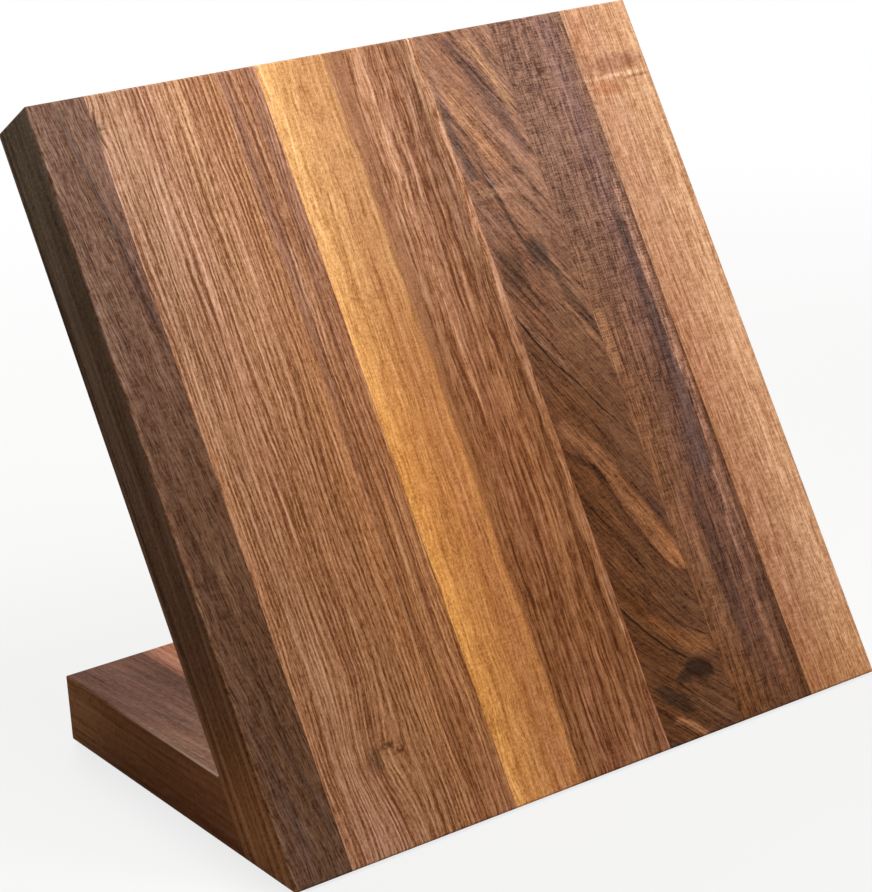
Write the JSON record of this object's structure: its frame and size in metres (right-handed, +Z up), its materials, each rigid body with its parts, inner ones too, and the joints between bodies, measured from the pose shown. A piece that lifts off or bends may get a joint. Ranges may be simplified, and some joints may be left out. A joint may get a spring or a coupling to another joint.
{
  "type": "magnetic knife block",
  "caption": "Free-standing magnetic knife block: a leaning walnut panel glued up from staves, on a walnut base, with hidden magnet rows that hold the blades.",
  "frame": {"origin": "on the surface that the feet stand on, in the middle of the block's bounding box", "axes": "+X across the block to the right of someone facing the knives, +Y away from them towards the back of the base, +Z up"},
  "size_m": [0.3, 0.1848, 0.2777],
  "materials": {
    "walnut_panel_1": "oiled walnut, dark grey brown",
    "walnut_panel_2": "oiled walnut, warm brown with straight dark lines",
    "walnut_panel_3": "oiled walnut, golden sapwood fading to brown heartwood",
    "walnut_panel_4": "oiled walnut, dark swirling figure",
    "walnut_panel_5": "oiled walnut, dark with fine cross ripple",
    "walnut_panel_6": "oiled walnut, light tan",
    "walnut_base_1": "oiled walnut, purple brown",
    "walnut_base_2": "oiled walnut, red brown",
    "walnut_base_3": "oiled walnut, mid brown",
    "walnut_base_4": "oiled walnut, dark brown",
    "walnut_base_5": "oiled walnut, warm brown",
    "walnut_base_6": "oiled walnut, purple brown",
    "magnet_nickel": "nickel plate on a sintered magnet",
    "pole_steel": "bare mild steel",
    "beech": "plain beech",
    "foot_rubber": "matt black rubber"
  },
  "bodies": {
    "root": {"panel_stave_1": "walnut_panel_1", "panel_stave_2": "walnut_panel_2", "panel_stave_3": "walnut_panel_3", "panel_stave_4": "walnut_panel_4", "panel_stave_5": "walnut_panel_5", "panel_stave_6": "walnut_panel_6", "base_stave_1": "walnut_base_1", "base_stave_2": "walnut_base_2", "base_stave_3": "walnut_base_3", "base_stave_4": "walnut_base_4", "base_stave_5": "walnut_base_5", "base_stave_6": "walnut_base_6", "magnets_lower": "magnet_nickel", "magnets_middle": "magnet_nickel", "magnets_upper": "magnet_nickel", "pole_discs_lower": "pole_steel", "pole_discs_middle": "pole_steel", "pole_discs_upper": "pole_steel", "joint_dowels": "beech", "foot_front_left": "foot_rubber", "foot_front_right": "foot_rubber", "foot_back_left": "foot_rubber", "foot_back_right": "foot_rubber"}
  },
  "joints": []
}
